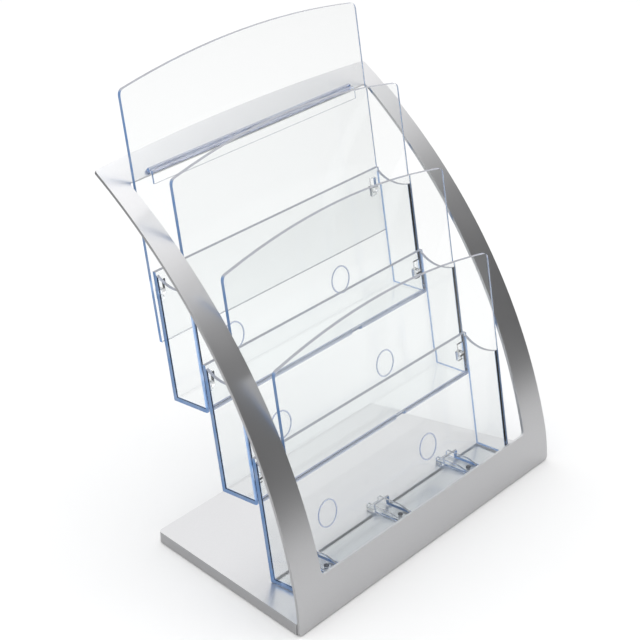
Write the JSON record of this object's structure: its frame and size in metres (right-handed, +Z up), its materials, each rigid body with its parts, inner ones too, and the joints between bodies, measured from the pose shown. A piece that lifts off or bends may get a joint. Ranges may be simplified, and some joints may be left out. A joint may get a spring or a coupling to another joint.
{
  "type": "magazine rack",
  "caption": "Tabletop literature rack: curved silver sheet-metal easel on a tray, carrying clear leaning pockets with arched fronts, stepped one below the other, and a tall clear back panel.",
  "frame": {"origin": "middle of the rack's outline on the table it stands on", "axes": "+Z up, +Y from the front bar towards the back, +X to the right seen from the front"},
  "size_m": [0.2858, 0.172, 0.3303],
  "materials": {
    "satin_silver": "satin silver powder coat on bent sheet steel",
    "clear_plastic": "clear injection-moulded, polished, bluish at its edges",
    "rivet_steel": "plain domed steel",
    "screw_steel": "dark zinc plate",
    "foot_rubber": "moulded, matt"
  },
  "bodies": {
    "stand": {"front_frame": "satin_silver", "base_tray": "satin_silver", "frame_rivet_1": "rivet_steel", "frame_rivet_2": "rivet_steel", "frame_rivet_3": "rivet_steel", "frame_rivet_4": "rivet_steel", "foot_1": "foot_rubber", "foot_2": "foot_rubber", "foot_3": "foot_rubber", "foot_4": "foot_rubber", "base_clip_left": "clear_plastic", "base_clip_centre": "clear_plastic", "base_clip_right": "clear_plastic", "clip_screw_left": "screw_steel", "clip_screw_centre": "screw_steel", "clip_screw_right": "screw_steel"},
    "tall_back": {"tall_back_panel": "clear_plastic"},
    "top_pocket": {"pocket_top": "clear_plastic"},
    "middle_pocket": {"pocket_middle": "clear_plastic"},
    "bottom_pocket": {"pocket_bottom": "clear_plastic"}
  },
  "joints": [
    {"name": "insert_lift", "type": "slide", "parent": "stand", "child": "tall_back", "axis": [0, 0.1635, 0.9865], "range_m": [0, 0.03]},
    {"name": "top_pocket_lift", "type": "slide", "parent": "tall_back", "child": "top_pocket", "axis": [0, 0.1635, 0.9865], "range_m": [0, 0.006]},
    {"name": "middle_pocket_lift", "type": "slide", "parent": "top_pocket", "child": "middle_pocket", "axis": [0, 0.1635, 0.9865], "range_m": [0, 0.006]},
    {"name": "bottom_pocket_lift", "type": "slide", "parent": "middle_pocket", "child": "bottom_pocket", "axis": [0, 0.1635, 0.9865], "range_m": [0, 0.006]}
  ]
}
